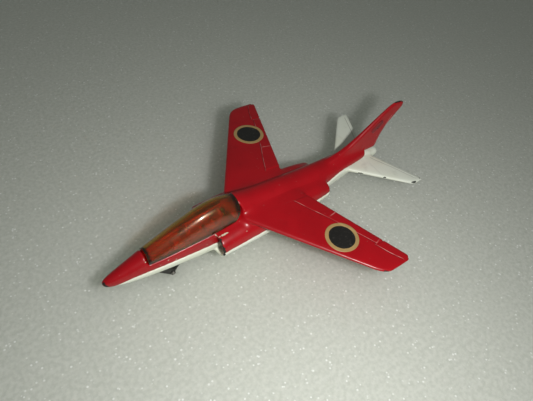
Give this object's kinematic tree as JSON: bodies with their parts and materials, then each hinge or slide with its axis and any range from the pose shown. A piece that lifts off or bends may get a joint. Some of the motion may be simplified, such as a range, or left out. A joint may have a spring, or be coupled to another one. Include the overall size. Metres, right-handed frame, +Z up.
{
  "type": "toy airplane",
  "caption": "Die-cast toy jet trainer: metal upper and lower castings, swept wings, clear amber canopy and a three-wheel undercarriage whose wheels roll.",
  "frame": {"origin": "centre of the bounding box at the level of the surface the wheels stand on", "axes": "+X towards the nose, +Y towards the port wing tip, +Z up"},
  "size_m": [0.1014, 0.077, 0.0321],
  "materials": {
    "red_enamel": "gloss enamel, chipped at the edges",
    "white_enamel": "satin enamel, slightly yellowed",
    "amber_plastic": "clear moulded styrene",
    "black_plastic": "satin moulded",
    "wheel_plastic": "satin moulded",
    "axle_steel": "plain drawn wire",
    "label_print": "printed film with a cream edge",
    "fin_label_print": "faded printed film"
  },
  "bodies": {
    "airframe": {"upper_casting": "red_enamel", "lower_casting": "white_enamel", "canopy": "amber_plastic", "nose_leg": "black_plastic", "nose_axle": "axle_steel", "main_leg_left": "black_plastic", "main_leg_right": "black_plastic", "main_axle_left": "axle_steel", "main_axle_right": "axle_steel", "wing_label_left": "label_print", "wing_label_right": "label_print", "fin_label_left": "fin_label_print", "fin_label_right": "fin_label_print"},
    "nose_wheel": {"nose_wheel": "wheel_plastic"},
    "main_wheel_left": {"main_wheel_left": "wheel_plastic"},
    "main_wheel_right": {"main_wheel_right": "wheel_plastic"}
  },
  "joints": [
    {"name": "nose_wheel_roll", "type": "hinge", "parent": "airframe", "child": "nose_wheel", "pos_m": [0.0316, 0, 0.0016], "axis": [0, 1, 0], "continuous": true},
    {"name": "main_wheel_left_roll", "type": "hinge", "parent": "airframe", "child": "main_wheel_left", "pos_m": [-0.0095, 0.0112, 0.0021], "axis": [0, 1, 0], "continuous": true},
    {"name": "main_wheel_right_roll", "type": "hinge", "parent": "airframe", "child": "main_wheel_right", "pos_m": [-0.0095, -0.0112, 0.0021], "axis": [0, 1, 0], "continuous": true}
  ]
}
